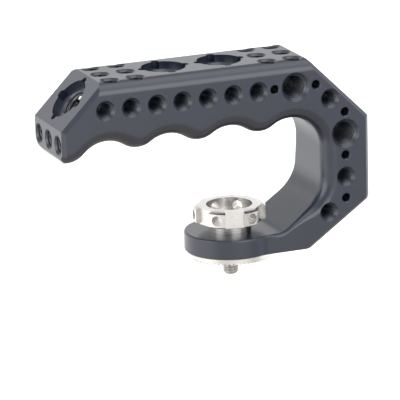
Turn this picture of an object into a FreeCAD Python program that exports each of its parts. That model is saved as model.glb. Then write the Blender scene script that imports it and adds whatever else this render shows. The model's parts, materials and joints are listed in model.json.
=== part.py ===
"""Camera top handle.

A C-shaped aluminium grip with finger grooves stands on a round foot. A toothed steel rosette sits under the
foot, and a captive steel thumb screw passes down through it and ends in a stud.

The frame's origin lies on the screw's axis in the rosette's toothed plane. +Z points up, the nose points
towards -X and the arm stands at +X. Lengths are in millimetres and angles in degrees.
"""
import FreeCAD, Part
import math
import os
import re
import Sketcher

Vector = FreeCAD.Vector
Rotation = FreeCAD.Rotation
Placement = FreeCAD.Placement

DIMENSIONS = [
    # The frame's outline, seen from the side
    ("body_width", 31.0, "frame across Y"),
    ("top_height", 75.1, "top face over the toothed plane"),
    ("nose_reach", 70.4, "front face ahead of the screw axis"),
    ("back_reach", 50.7, "back face behind the screw axis"),
    ("nose_bevel", 16.05, "legs of the 45 degree bevel over the nose"),
    ("back_bevel", 24.1, "legs of the 45 degree bevel at the back"),
    ("heel_reach", 26.55, "where the foot's underside turns up, behind the axis"),
    ("heel_angle", 34.5, "slope of the arm's lower end"),
    ("arm_thickness", 12.5, "sloping part of the arm, square to its faces"),
    # The grip's underside
    ("groove_radius", 12.3, "finger grooves"),
    ("ridge_radius", 9.25, "ridges between the grooves"),
    ("groove_pitch", 24.15, "from groove to groove"),
    ("groove_height", 52.8, "highest line of the grooves"),
    ("rear_groove", 20.15, "rear groove behind the screw axis"),
    ("nose_ridge", 67.5, "ridge under the nose, ahead of the screw axis"),
    # Rounds and breaks of the frame
    ("inner_corner", 14.0, "between the arm's inner wall and its slope"),
    ("foot_corner", 6.0, "between the slope and the foot"),
    ("back_corner", 1.5, "top of the back face"),
    ("heel_corner", 2.5, "bottom of the back face"),
    ("top_round", 4.45, "long edges of the top face"),
    ("under_round", 5.2, "edges under the grip"),
    ("nose_round", 4.1, "the same edges where they reach the nose"),
    ("wall_round", 3.6, "where the round down the inner wall has begun to fade"),
    ("slope_round", 1.4, "edges of the arm's slope"),
    ("foot_round", 0.7, "upper edge of the foot"),
    ("edge_break", 1.4, "chamfer round the nose, the back and the heel"),
    ("foot_break", 0.4, "chamfer round the foot's underside"),
    # The foot
    ("foot_radius", 17.2, "round end of the foot"),
    ("foot_bottom", 2.6, "foot's underside over the toothed plane"),
    ("foot_thickness", 7.45, "foot's plate"),
    ("foot_flare", 10.0, "blend from the round end into the arm"),
    # Threaded holes, at their major diameters, and locating pin holes
    ("quarter_radius", 3.2, "quarter inch holes"),
    ("quarter_rim", 3.75, "their chamfered mouths"),
    ("large_radius", 4.8, "three eighth inch holes"),
    ("large_rim", 5.6, "their chamfered mouths in the sides"),
    ("pocket_rim", 5.25, "their chamfered mouths in the pockets"),
    ("pin_radius", 1.6, "locating pin holes"),
    ("pin_rim", 1.9, "their chamfered mouths in the sides"),
    ("pin_offset", 8.28, "pin holes from the middle of their large hole"),
    ("pocket_radius", 8.25, "round pockets of the locating mounts"),
    ("pocket_depth", 2.2, "round pockets of the locating mounts"),
    ("notch_depth", 3.0, "pin holes in the pockets' walls"),
    ("top_depth", 4.5, "quarter inch holes in the top"),
    ("nose_depth", 8.0, "quarter inch holes in the nose"),
    ("mount_reach", 30.0, "large holes of the locating mounts, out into the grooves"),
    # Where the holes are
    ("hole_pitch", 10.0, "hole to hole in every row"),
    ("row_count", 7, "quarter inch holes in a side row"),
    ("row_drop", 9.79, "side row under the top face"),
    ("row_start", 53.56, "first hole of the side row ahead of the screw axis"),
    ("side_mount", 21.14, "upper large side hole behind the axis"),
    ("arm_column", 41.0, "holes down the arm behind the axis"),
    ("arm_mount", 45.3, "lower large side hole over the toothed plane"),
    ("arm_hole", 28.74, "quarter inch hole below it"),
    ("shoulder_reach", 34.98, "quarter inch hole at the shoulder"),
    ("shoulder_height", 59.36, "quarter inch hole at the shoulder"),
    ("slope_reach", 33.94, "quarter inch hole at the slope"),
    ("slope_height", 15.81, "quarter inch hole at the slope"),
    ("top_middle", 13.8, "middle of the top face's holes ahead of the axis"),
    ("top_mount_gap", 11.0, "each top mount from that middle"),
    ("top_hole_gap", 25.92, "nearer columns of top holes from that middle"),
    ("nose_height", 53.15, "row of holes in the nose"),
    ("bevel_mount", 11.95, "mount in the bevel, up its slope from the nose face"),
    # The rosette ring and its screws
    ("ring_radius", 15.75, "rosette ring"),
    ("ring_seat", 1.0, "how far the ring is let into the foot"),
    ("ring_gap", 0.05, "round the ring in its seat"),
    ("ring_bore", 5.8, "middle of the ring"),
    ("ring_break", 0.3, "chamfer round the ring's toothed edge"),
    ("land_height", 1.0, "ring's inner land over the toothed plane"),
    ("teeth_start", 10.0, "inner end of the teeth"),
    ("tooth_depth", 0.8, "teeth at the ring's edge"),
    ("tooth_count", 60, "teeth round the ring"),
    ("tooth_crest", 0.2, "flat crest between two grooves at the ring's edge"),
    ("ring_screw_circle", 7.9, "ring's screws from the axis"),
    ("ring_screw_radius", 1.0, "ring's screws"),
    ("ring_screw_head", 1.75, "their countersunk heads"),
    ("ring_screw_length", 6.0, "their length with the head"),
    ("ring_screw_gap", 0.1, "round their shanks in the ring"),
    ("ring_tap_gap", 0.02, "round their threads in the foot and under their heads"),
    ("ring_key_flats", 1.3, "hexagon sockets in their heads"),
    ("ring_key_depth", 0.9, "hexagon sockets in their heads"),
    # The thumb screw's head
    ("neck_radius", 8.05, "neck"),
    ("neck_height", 3.3, "neck"),
    ("head_radius", 13.55, "slotted head"),
    ("head_height", 6.28, "slotted head"),
    ("head_break", 1.25, "chamfers round the head's edges, inwards"),
    ("head_slant", 0.65, "the same chamfers along the axis"),
    ("bowl_radius", 8.65, "open bowl in the head"),
    ("bowl_depth", 5.2, "open bowl in the head"),
    ("slot_count", 6, "slots round the head"),
    ("slot_width", 7.2, "slots"),
    ("slot_floor", 11.6, "slots' floors from the axis"),
    ("lever_radius", 1.95, "lever holes between the slots, out of the bowl"),
    ("head_turn", 47.0, "turn of the head at rest"),
    # The stud and what holds it
    ("stud_radius", 3.0, "stud"),
    ("stud_reach", 7.3, "stud below the toothed plane"),
    ("stud_tip", 0.8, "rounded tip"),
    ("stud_gap", 0.08, "round the stud in the foot"),
    ("stud_seat_gap", 0.02, "round the stud in the head"),
    ("key_flats", 3.0, "hexagon socket in the stud's upper end"),
    ("key_depth", 3.0, "hexagon socket in the stud's upper end"),
    ("washer_radius", 5.3, "washer"),
    ("washer_thickness", 0.5, "washer"),
    ("washer_gap", 0.15, "round the stud in the washer"),
    ("clip_radius", 4.6, "retaining clip"),
    ("clip_thickness", 0.7, "retaining clip"),
    ("clip_play", 0.05, "over and under the clip"),
    ("clip_mouth", 4.0, "opening of the clip"),
    ("clip_groove", 0.6, "depth of the clip's groove in the stud"),
]
SIZES = {name: value for name, value, meaning in DIMENSIONS}
TOLERANCE = 0.02

doc = FreeCAD.newDocument("top_handle")


def make_sheet():
    """Write the driving dimensions into the spreadsheet that every sub-part reads."""
    sheet = doc.addObject("Spreadsheet::Sheet", "dims")
    for row, (name, value, meaning) in enumerate(DIMENSIONS, start=1):
        sheet.set("A%d" % row, name)
        sheet.set("B%d" % row, str(value))
        sheet.setAlias("B%d" % row, name)
        sheet.set("C%d" % row, meaning)
    doc.recompute()
    return sheet


sheet = make_sheet()


def bound(formula):
    """Return a formula on the driving dimensions as an expression on the sheet."""
    def on_sheet(word):
        return "dims." + word.group() if word.group() in SIZES else word.group()
    return re.sub(r"[a-z][a-z_]+", on_sheet, formula)


def amount(formula):
    """Return a formula's value now."""
    result = sheet.evalExpression(bound(formula))
    return float(getattr(result, "Value", result))


def bind(target, path, formula):
    target.setExpression(path, bound(formula))


def origin_feature(body, role):
    return next(feature for feature in body.Origin.OriginFeatures if feature.Role == role)


def sketch_on(body, name, role, offset=None, tilt=None):
    """Attach a sketch to one of the body's own origin planes, moved along its normal."""
    sketch = body.newObject("Sketcher::SketchObject", name)
    sketch.AttachmentSupport = [(origin_feature(body, role), "")]
    sketch.MapMode = "FlatFace"
    if tilt is not None:
        sketch.AttachmentOffset = Placement(Vector(), tilt)
    if offset is not None:
        for axis, formula in offset.items():
            bind(sketch, "AttachmentOffset.Base." + axis, formula)
    doc.recompute()
    return sketch


def hold(sketch, kind, where, formula):
    """Add a dimension to a sketch and bind it."""
    start = math.radians(amount(formula)) if kind == "Angle" else amount(formula)
    index = sketch.addConstraint(Sketcher.Constraint(kind, *where, start))
    bind(sketch, "Constraints[%d]" % index, formula)


def hold_point(sketch, geometry, point, x=None, y=None):
    """Place a point of a sketch from the origin: a formula of 0 puts it on the axis."""
    for kind, axis, formula in (("DistanceX", -2, x), ("DistanceY", -1, y)):
        if formula == "0":
            sketch.addConstraint(Sketcher.Constraint("PointOnObject", geometry, point, axis))
        elif formula is not None:
            hold(sketch, kind, (-1, 1, geometry, point), formula)


def circles(sketch, centres, radius):
    """Draw circles of one radius at centres that are pairs of formulas."""
    for x, y in centres:
        middle = Vector(amount(x), amount(y), 0)
        circle = sketch.addGeometry(Part.Circle(middle, Vector(0, 0, 1), amount(radius)))
        hold_point(sketch, circle, 3, x, y)
        hold(sketch, "Radius", (circle,), radius)


def polygon(sketch, corners):
    """Draw a closed outline of straight lines through corners that are pairs of formulas."""
    points = [Vector(amount(x), amount(y), 0) for x, y in corners]
    count = len(points)
    lines = [sketch.addGeometry(Part.LineSegment(points[i], points[(i + 1) % count])) for i in range(count)]
    for i, line in enumerate(lines):
        sketch.addConstraint(Sketcher.Constraint("Coincident", line, 2, lines[(i + 1) % count], 1))
        hold_point(sketch, line, 1, *corners[i])


def pad(body, name, sketch, length, symmetric=False, reverse=False):
    feature = body.newObject("PartDesign::Pad", name)
    feature.Profile = sketch
    feature.SideType = "Symmetric" if symmetric else "One side"
    feature.Reversed = reverse
    bind(feature, "Length", length)
    doc.recompute()
    return feature


def checked_cut(body, feature, before):
    """Make a cut the body's tip, and stop if it took nothing away."""
    body.Tip = feature
    doc.recompute()
    if feature.Shape.isNull() or feature.Shape.Volume >= before - 1e-3:
        raise RuntimeError(feature.Label + " cuts nothing")
    return feature


def pocket(body, name, sketch, depth=None, reverse=False):
    """Cut a sketch into the body, to a depth or right through."""
    before = body.Shape.Volume
    feature = body.newObject("PartDesign::Pocket", name)
    feature.Profile = sketch
    feature.Reversed = reverse
    if depth is None:
        feature.Type = "ThroughAll"
    else:
        bind(feature, "Length", depth)
    return checked_cut(body, feature, before)


def drill(body, name, sketch, radius, depth=None, rim=None, reverse=False):
    """Drill the circles of a sketch, with a 90 degree countersink out to the rim."""
    before = body.Shape.Volume
    hole = body.newObject("PartDesign::Hole", name)
    hole.Profile = sketch
    doc.recompute()
    hole.Reversed = reverse
    hole.DrillPoint = "Flat"
    bind(hole, "Diameter", "2 * " + radius)
    if depth is None:
        hole.DepthType = "ThroughAll"
    else:
        hole.DepthType = "Dimension"
        bind(hole, "Depth", depth)
    if rim is not None:
        hole.HoleCutType = "Countersink"
        hole.HoleCutCountersinkAngle = 90
        bind(hole, "HoleCutDiameter", "2 * " + rim)
    return checked_cut(body, hole, before)


def revolve(body, name, sketch):
    """Turn a sketch round its vertical axis into a solid."""
    feature = body.newObject("PartDesign::Revolution", name)
    feature.Profile = sketch
    feature.ReferenceAxis = (sketch, ["V_Axis"])
    feature.Angle = 360
    doc.recompute()
    return feature


def mirror_across(body, name, feature):
    """Repeat a cut on the frame's other side."""
    before = body.Shape.Volume
    mirrored = body.newObject("PartDesign::Mirrored", name)
    mirrored.Originals = [feature]
    mirrored.MirrorPlane = (origin_feature(body, "XZ_Plane"), [""])
    return checked_cut(body, mirrored, before)


def repeat_round(body, name, features, count):
    """Repeat cuts round the Z axis."""
    before = body.Shape.Volume
    pattern = body.newObject("PartDesign::PolarPattern", name)
    pattern.Originals = features
    pattern.Axis = (origin_feature(body, "Z_Axis"), [""])
    pattern.Angle = 360
    bind(pattern, "Occurrences", count)
    return checked_cut(body, pattern, before)


def middle_of(edge):
    return edge.valueAt((edge.FirstParameter + edge.LastParameter) / 2)


def edges_where(shape, test):
    """List an edge's number, the edge and its middle where the middle passes the test."""
    found = []
    for number, edge in enumerate(shape.Edges, start=1):
        middle = middle_of(edge)
        if test(middle):
            found.append((number, edge, middle))
    return found


def dress(body, name, kind, size_path, formula, test):
    """Round or chamfer the body's edges whose middles pass the test."""
    base = body.Tip
    names = ["Edge%d" % number for number, edge, middle in edges_where(base.Shape, test)]
    feature = body.newObject("PartDesign::" + kind, name)
    feature.Base = (base, names)
    bind(feature, size_path, formula)
    body.Tip = feature
    doc.recompute()
    return feature


def touching(value, target):
    return abs(value - target) < TOLERANCE


# The frame's outline

FOOT_TOP = "foot_bottom + foot_thickness"
WALL = "rear_groove + groove_radius"
SEAT = "foot_bottom + ring_seat"
RING_SCREWS = [
    ("ring_screw_circle * cos(45)", "ring_screw_circle * sin(45)"),
    ("-ring_screw_circle * cos(45)", "ring_screw_circle * sin(45)"),
    ("-ring_screw_circle * cos(45)", "-ring_screw_circle * sin(45)"),
    ("ring_screw_circle * cos(45)", "-ring_screw_circle * sin(45)"),
]
GROOVES = 4


class FrameOutline:
    """The side view's points, worked out from the driving dimensions.

    The sketch's constraints hold the same outline. These points start it off, and find its edges later.
    """

    def __init__(self):
        self.slope = math.radians(amount("heel_angle"))
        self.along = Vector(math.cos(self.slope), math.sin(self.slope), 0)
        self.upright = Vector(-self.along.y, self.along.x, 0)
        self.make_grip()
        self.make_arm()

    def make_grip(self):
        radius = amount("groove_radius")
        ridge = amount("ridge_radius")
        reach = radius + ridge
        level = amount("groove_height") - radius
        pitch = amount("groove_pitch")
        rear = amount("rear_groove")
        self.groove_centres = [Vector(rear - i * pitch, level, 0) for i in range(GROOVES)]
        ridge_places = [rear - (i + 0.5) * pitch for i in range(GROOVES - 1)] + [-amount("nose_ridge")]
        self.ridge_centres = []
        for groove, place in zip(self.groove_centres, ridge_places):
            rise = math.sqrt(reach ** 2 - (groove.x - place) ** 2)
            self.ridge_centres.append(Vector(place, level + rise, 0))
        nose = self.ridge_centres[-1]
        nose_x = -amount("nose_reach")
        self.nose_foot = Vector(nose_x, nose.y - math.sqrt(ridge ** 2 - (nose_x - nose.x) ** 2), 0)

    def make_arm(self):
        foot_top = amount(FOOT_TOP)
        heel = Vector(amount("heel_reach"), amount("foot_bottom"), 0)
        on_slope = heel + self.upright * amount("arm_thickness")
        wall = amount(WALL)
        rise = math.tan(self.slope)
        corner = Vector(wall, on_slope.y + (wall - on_slope.x) * rise, 0)
        foot = Vector(on_slope.x + (foot_top - on_slope.y) / rise, foot_top, 0)
        inner = amount("inner_corner")
        inner_leg = inner * math.tan((math.pi / 2 - self.slope) / 2)
        self.wall_end = corner + Vector(0, inner_leg, 0)
        self.slope_top = corner - self.along * inner_leg
        self.inner_centre = self.wall_end - Vector(inner, 0, 0)
        foot_corner = amount("foot_corner")
        foot_leg = foot_corner * math.tan(self.slope / 2)
        self.slope_foot = foot + self.along * foot_leg
        self.foot_end = foot - Vector(foot_leg, 0, 0)
        self.foot_centre = self.foot_end + Vector(0, foot_corner, 0)
        self.make_back(heel)

    def make_back(self, heel):
        back = amount("back_reach")
        round_back = amount("back_corner")
        round_heel = amount("heel_corner")
        back_top = Vector(back, amount("top_height - back_bevel"), 0)
        heel_top = Vector(back, heel.y + (back - heel.x) * math.tan(self.slope), 0)
        back_leg = round_back * math.tan(math.pi / 8)
        heel_leg = round_heel * math.tan((math.pi / 2 - self.slope) / 2)
        self.bevel_end = back_top + Vector(-1, 1, 0).normalize() * back_leg
        self.back_start = back_top - Vector(0, back_leg, 0)
        self.back_centre = self.back_start - Vector(round_back, 0, 0)
        self.back_end = heel_top + Vector(0, heel_leg, 0)
        self.heel_start = heel_top - self.along * heel_leg
        self.heel_centre = self.back_end - Vector(round_heel, 0, 0)


def line(start, end):
    """A line of the outline, with the numbers of its first and last ends."""
    return Part.LineSegment(start, end), (1, 2)


def arc(centre, radius, start, end):
    """The shorter arc from start to end, which a sketch always holds anticlockwise."""
    first = math.atan2(start.y - centre.y, start.x - centre.x)
    last = math.atan2(end.y - centre.y, end.x - centre.x)
    circle = Part.Circle(centre, Vector(0, 0, 1), radius)
    if (last - first) % (2 * math.pi) < math.pi:
        return Part.ArcOfCircle(circle, first, last), (1, 2)
    return Part.ArcOfCircle(circle, last, first), (2, 1)


def draw_outline(sketch, outline):
    """Draw the frame's side view as one closed chain of lines and tangent arcs."""
    top = amount("top_height")
    foot_bottom = amount("foot_bottom")
    nose_bevel = amount("nose_bevel")
    nose_x = -amount("nose_reach")
    nose_top = Vector(nose_x + nose_bevel, top, 0)
    nose_corner = Vector(nose_x, top - nose_bevel, 0)
    top_end = Vector(amount("back_reach - back_bevel"), top, 0)
    heel = Vector(amount("heel_reach"), foot_bottom, 0)
    foot_low = Vector(0, foot_bottom, 0)
    foot_high = Vector(0, amount(FOOT_TOP), 0)

    chain = [
        ("top", line(nose_top, top_end), False),
        ("back_slant", line(top_end, outline.bevel_end), False),
        ("back_arc", arc(outline.back_centre, amount("back_corner"), outline.bevel_end, outline.back_start), True),
        ("back", line(outline.back_start, outline.back_end), True),
        ("heel_arc", arc(outline.heel_centre, amount("heel_corner"), outline.back_end, outline.heel_start), True),
        ("heel", line(outline.heel_start, heel), True),
        ("foot_under", line(heel, foot_low), False),
        ("foot_front", line(foot_low, foot_high), False),
        ("foot_top", line(foot_high, outline.foot_end), False),
        ("foot_arc", arc(outline.foot_centre, amount("foot_corner"), outline.foot_end, outline.slope_foot), True),
        ("slope", line(outline.slope_foot, outline.slope_top), True),
        ("inner_arc", arc(outline.inner_centre, amount("inner_corner"), outline.slope_top, outline.wall_end), True),
    ]
    wall_top = outline.groove_centres[0] + Vector(amount("groove_radius"), 0, 0)
    chain.append(("wall", line(outline.wall_end, wall_top), True))
    start = wall_top
    for i, (groove, ridge) in enumerate(zip(outline.groove_centres, outline.ridge_centres)):
        share = amount("groove_radius / (groove_radius + ridge_radius)")
        meet = groove + (ridge - groove) * share
        chain.append(("groove%d" % i, arc(groove, amount("groove_radius"), start, meet), True))
        last = i == GROOVES - 1
        following = None if last else outline.groove_centres[i + 1]
        start = outline.nose_foot if last else following + (ridge - following) * share
        chain.append(("ridge%d" % i, arc(ridge, amount("ridge_radius"), meet, start), True))
    chain.append(("nose", line(outline.nose_foot, nose_corner), False))
    chain.append(("nose_slant", line(nose_corner, nose_top), False))

    index = {}
    ends = {}
    for name, (shape, numbers), tangent in chain:
        index[name] = sketch.addGeometry(shape)
        ends[name] = numbers
    for here, (name, piece, tangent) in enumerate(chain):
        before = chain[here - 1][0]
        kind = "Tangent" if tangent else "Coincident"
        sketch.addConstraint(Sketcher.Constraint(kind, index[before], ends[before][1], index[name], ends[name][0]))
    hold_outline(sketch, index, ends)


def hold_outline(sketch, index, ends):
    """Give the chain its driving dimensions."""
    for name in ("top", "foot_under", "foot_top"):
        sketch.addConstraint(Sketcher.Constraint("Horizontal", index[name]))
    for name in ("back", "foot_front", "wall", "nose"):
        sketch.addConstraint(Sketcher.Constraint("Vertical", index[name]))
    sketch.addConstraint(Sketcher.Constraint("Parallel", index["heel"], index["slope"]))
    hold_point(sketch, index["top"], 1, "nose_bevel - nose_reach", "top_height")
    hold_point(sketch, index["top"], 2, "back_reach - back_bevel")
    hold(sketch, "Angle", (index["heel"],), "heel_angle - 180")
    hold(sketch, "Angle", (index["back_slant"],), "-45")
    hold_point(sketch, index["back"], 1, "back_reach")
    hold_point(sketch, index["heel"], 2, "heel_reach", "foot_bottom")
    hold_point(sketch, index["foot_front"], 1, "0")
    hold_point(sketch, index["foot_front"], 2, None, FOOT_TOP)
    hold(sketch, "Distance", (index["heel"], 2, index["slope"]), "arm_thickness")
    hold_point(sketch, index["nose"], ends["nose"][1], "-nose_reach", "top_height - nose_bevel")
    for name, formula in (("back_arc", "back_corner"), ("heel_arc", "heel_corner"), ("foot_arc", "foot_corner"),
                          ("inner_arc", "inner_corner"), ("groove0", "groove_radius"), ("ridge0", "ridge_radius")):
        hold(sketch, "Radius", (index[name],), formula)
    hold_point(sketch, index["groove0"], 3, "rear_groove", "groove_height - groove_radius")
    for i in range(1, GROOVES):
        sketch.addConstraint(Sketcher.Constraint("Equal", index["groove0"], index["groove%d" % i]))
        sketch.addConstraint(Sketcher.Constraint("Equal", index["ridge0"], index["ridge%d" % i]))
        hold_point(sketch, index["groove%d" % i], 3, "rear_groove - %d * groove_pitch" % i,
                   "groove_height - groove_radius")
    hold_point(sketch, index["ridge%d" % (GROOVES - 1)], 3, "-nose_ridge")


outline = FrameOutline()


def make_blank():
    """The sawn and milled blank: the side view across the full width, and the foot's round end."""
    body = doc.addObject("PartDesign::Body", "handle_blank")
    side_view = sketch_on(body, "side_view", "XZ_Plane")
    draw_outline(side_view, outline)
    pad(body, "frame_pad", side_view, "body_width", symmetric=True)
    foot_view = sketch_on(body, "foot_view", "XY_Plane", {"z": "foot_bottom"})
    circles(foot_view, [("0", "0")], "foot_radius")
    pad(body, "foot_pad", foot_view, "foot_thickness")
    half_width = amount("body_width / 2")
    crease = math.sqrt(amount("foot_radius") ** 2 - half_width ** 2)

    def is_crease(middle):
        return touching(middle.x, crease) and touching(abs(middle.y), half_width)

    dress(body, "flare", "Fillet", "Radius", "foot_flare", is_crease)
    return body


def chain_radii(middle):
    """The radii at the higher and the lower end of an edge in the chain that runs round the handle's inside."""
    half_width = amount("body_width / 2")
    foot_top = amount(FOOT_TOP)
    wall = amount(WALL)
    if touching(middle.z, foot_top):
        round_end = math.hypot(middle.x, middle.y) > half_width
        return (amount("foot_round"),) * 2 if round_end and middle.x < outline.foot_end.x else None
    if not touching(abs(middle.y), half_width) or middle.z < foot_top or middle.z > amount("groove_height") + 1:
        return None
    if middle.z > outline.groove_centres[0].y:
        if middle.x > wall or middle.x < -amount("nose_reach") + TOLERANCE:
            return None
        last_ridge = middle.x < (outline.groove_centres[-1].x + outline.ridge_centres[-1].x) / 2
        return amount("under_round"), amount("nose_round" if last_ridge else "under_round")
    if touching(middle.x, wall):
        return amount("under_round"), amount("wall_round")
    if middle.x > wall:
        return None
    if middle.x > outline.slope_top.x:
        return amount("wall_round"), amount("slope_round")
    if middle.x > outline.slope_foot.x:
        return (amount("slope_round"),) * 2
    return amount("slope_round"), amount("foot_round")


def round_inside(blank):
    """Round the edges of the grip's underside, and fade the round down the arm to the foot."""
    rounded = doc.addObject("Part::Fillet", "handle_rounded")
    rounded.Base = blank
    chosen = []
    for number, edge in enumerate(blank.Shape.Edges, start=1):
        radii = chain_radii(middle_of(edge))
        if radii is not None:
            first_is_higher = edge.valueAt(edge.FirstParameter).z > edge.valueAt(edge.LastParameter).z
            chosen.append((number,) + (radii if first_is_higher else radii[::-1]))
    rounded.Edges = chosen
    doc.recompute()
    return rounded


def is_outer_edge(middle):
    """Tell whether an edge's middle lies on the side view's outer run: the nose, the back and the heel."""
    if not touching(abs(middle.y), amount("body_width / 2")):
        return False
    heel = Vector(amount("heel_reach"), amount("foot_bottom"), 0)
    place = Vector(middle.x, middle.z, 0)
    on_heel = touching((place - heel).dot(outline.upright), 0) and middle.x > heel.x
    on_slants = (touching(place.x - place.y, amount("nose_bevel - nose_reach - top_height"))
                 or touching(place.x + place.y, amount("back_reach - back_bevel + top_height")))
    on_arcs = (touching(place.distanceToPoint(outline.back_centre), amount("back_corner"))
               or touching(place.distanceToPoint(outline.heel_centre), amount("heel_corner")))
    on_ends = touching(place.x, -amount("nose_reach")) or touching(place.x, amount("back_reach"))
    return on_heel or on_slants or on_arcs or on_ends


def is_foot_edge(middle):
    return touching(middle.z, amount("foot_bottom")) and middle.x < amount("heel_reach") - TOLERANCE


def is_top_edge(middle):
    return touching(abs(middle.y), amount("body_width / 2")) and touching(middle.z, amount("top_height"))


def through_sides(frame, name, centres, radius, rim):
    """Drill holes from side to side, with a chamfered mouth at both ends."""
    holes = sketch_on(frame, name + "_layout", "XZ_Plane", {"z": "body_width / 2"})
    circles(holes, centres, radius)
    cut = drill(frame, name, holes, radius, None, rim)
    mirror_across(frame, name + "_far", cut)


def drill_sides(frame):
    """The threaded holes and the pin holes between the two sides."""
    row = "top_height - row_drop"
    in_row = [("%d * hole_pitch - row_start" % i, row) for i in range(int(SIZES["row_count"]))]
    singles = [
        ("shoulder_reach", "shoulder_height"),
        ("arm_column", "arm_hole"),
        ("slope_reach", "slope_height"),
    ]
    pins = [
        ("side_mount - pin_offset", row),
        ("side_mount + pin_offset", row),
        ("arm_column", "arm_mount + pin_offset"),
        ("arm_column", "arm_mount - pin_offset"),
        ("arm_column", "arm_hole - pin_offset"),
    ]
    through_sides(frame, "side_holes", in_row + singles, "quarter_radius", "quarter_rim")
    mounts = [("side_mount", row), ("arm_column", "arm_mount")]
    through_sides(frame, "side_mounts", mounts, "large_radius", "large_rim")
    through_sides(frame, "side_pins", pins, "pin_radius", "pin_rim")


def drill_top(frame):
    """The two patches of threaded holes in the top, three rows across and two columns each."""
    columns = []
    for side in ("-", "+"):
        for extra in ("", " %s hole_pitch" % side):
            columns.append("-top_middle %s top_hole_gap%s" % (side, extra))
    centres = [(column, place) for column in columns for place in ("-hole_pitch", "0", "hole_pitch")]
    holes = sketch_on(frame, "top_layout", "XY_Plane", {"z": "top_height"})
    circles(holes, centres, "quarter_radius")
    drill(frame, "top_holes", holes, "quarter_radius", "top_depth", "quarter_rim")


def drill_nose(frame):
    """The row of three threaded holes across the nose."""
    holes = sketch_on(frame, "nose_layout", "YZ_Plane", {"z": "-nose_reach"})
    circles(holes, [(place, "nose_height") for place in ("-hole_pitch", "0", "hole_pitch")], "quarter_radius")
    drill(frame, "nose_holes", holes, "quarter_radius", "nose_depth", "quarter_rim", reverse=True)


def locating_mounts(frame, name, face, floor, centres, tilt=None):
    """Cut locating mounts: a round pocket with a pin hole in its wall on four sides, and a threaded hole through.

    The pockets start on the face. The threaded holes start on the pockets' floor.
    """
    rings = sketch_on(frame, name + "_pocket_layout", "XY_Plane", face, tilt)
    circles(rings, centres, "pocket_radius")
    pocket(frame, name + "_pockets", rings, "pocket_depth")
    notches = sketch_on(frame, name + "_notch_layout", "XY_Plane", face, tilt)
    for x, y in centres:
        across = [(x, "-pin_offset"), (x, "pin_offset")]
        start = "" if x == "0" else x + " "
        along = [(start + "- pin_offset", y), (start + "+ pin_offset", y)]
        circles(notches, across + along, "pin_radius")
    pocket(frame, name + "_notches", notches, "notch_depth")
    holes = sketch_on(frame, name + "_hole_layout", "XY_Plane", floor, tilt)
    circles(holes, centres, "large_radius")
    drill(frame, name + "_holes", holes, "large_radius", "mount_reach", "pocket_rim")


def make_frame(rounded):
    """The handle's frame: its broken edges, its holes and the seat of the rosette ring."""
    frame = doc.addObject("PartDesign::Body", "handle_frame")
    frame.BaseFeature = rounded
    doc.recompute()
    dress(frame, "foot_edge", "Chamfer", "Size", "foot_break", is_foot_edge)
    dress(frame, "broken_edges", "Chamfer", "Size", "edge_break", is_outer_edge)
    dress(frame, "top_rounds", "Fillet", "Radius", "top_round", is_top_edge)
    drill_sides(frame)
    drill_top(frame)
    drill_nose(frame)
    middles = [("-top_middle - top_mount_gap", "0"), ("top_mount_gap - top_middle", "0")]
    locating_mounts(frame, "top_mount", {"z": "top_height"}, {"z": "top_height - pocket_depth"}, middles)
    lean = Rotation(Vector(0, 1, 0), -45)
    way_up = "bevel_mount * cos(45)"
    way_in = "pocket_depth * cos(45)"
    face = {
        "x": "-nose_reach + " + way_up,
        "z": "top_height - nose_bevel + " + way_up,
    }
    floor = {
        "x": face["x"] + " + " + way_in,
        "z": face["z"] + " - " + way_in,
    }
    locating_mounts(frame, "bevel_mount", face, floor, [("0", "0")], lean)
    seat = sketch_on(frame, "ring_seat_view", "XY_Plane", {"z": "foot_bottom"})
    circles(seat, [("0", "0")], "ring_radius + ring_gap")
    pocket(frame, "ring_seat_cut", seat, "ring_seat", reverse=True)
    bore = sketch_on(frame, "screw_bore_view", "XY_Plane", {"z": SEAT})
    circles(bore, [("0", "0")], "stud_radius + stud_gap")
    pocket(frame, "screw_bore", bore, "foot_thickness", reverse=True)
    taps = sketch_on(frame, "ring_tap_view", "XY_Plane", {"z": SEAT})
    circles(taps, RING_SCREWS, "ring_screw_radius + ring_tap_gap")
    pocket(frame, "ring_taps", taps, "ring_screw_length - land_height", reverse=True)
    return frame


# The rosette ring and its screws


def make_ring():
    """The toothed ring under the foot: an outer band of radial teeth and an inner land with four screw holes."""
    ring = doc.addObject("PartDesign::Body", "rosette_ring")
    section = sketch_on(ring, "ring_section", "XZ_Plane")
    polygon(section, [
        ("ring_bore", "land_height"),
        ("teeth_start", "land_height"),
        ("teeth_start", "0"),
        ("ring_radius - ring_break", "0"),
        ("ring_radius", "ring_break"),
        ("ring_radius", SEAT),
        ("ring_bore", SEAT),
    ])
    revolve(ring, "ring_turned", section)
    holes = sketch_on(ring, "ring_hole_view", "XY_Plane", {"z": "land_height"})
    circles(holes, RING_SCREWS, "ring_screw_radius + ring_screw_gap")
    drill(ring, "ring_holes", holes, "(ring_screw_radius + ring_screw_gap)", None,
          "(ring_screw_head + ring_tap_gap)", reverse=True)
    cut_teeth(ring)
    return ring


def tooth_section(ring, name, place):
    """The V between two teeth at a distance from the axis. Its size grows with that distance."""
    section = sketch_on(ring, name, "YZ_Plane", {"z": place})
    share = "(%s) / ring_radius" % place
    depth = "tooth_depth * " + share
    half = "(pi * ring_radius / tooth_count - tooth_crest / 2) * " + share
    overrun = 0.25
    polygon(section, [
        ("-%g * %s" % (1 + overrun, half), "-%g * %s" % (overrun, depth)),
        ("%g * %s" % (1 + overrun, half), "-%g * %s" % (overrun, depth)),
        ("0", depth),
    ])
    return section


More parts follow.
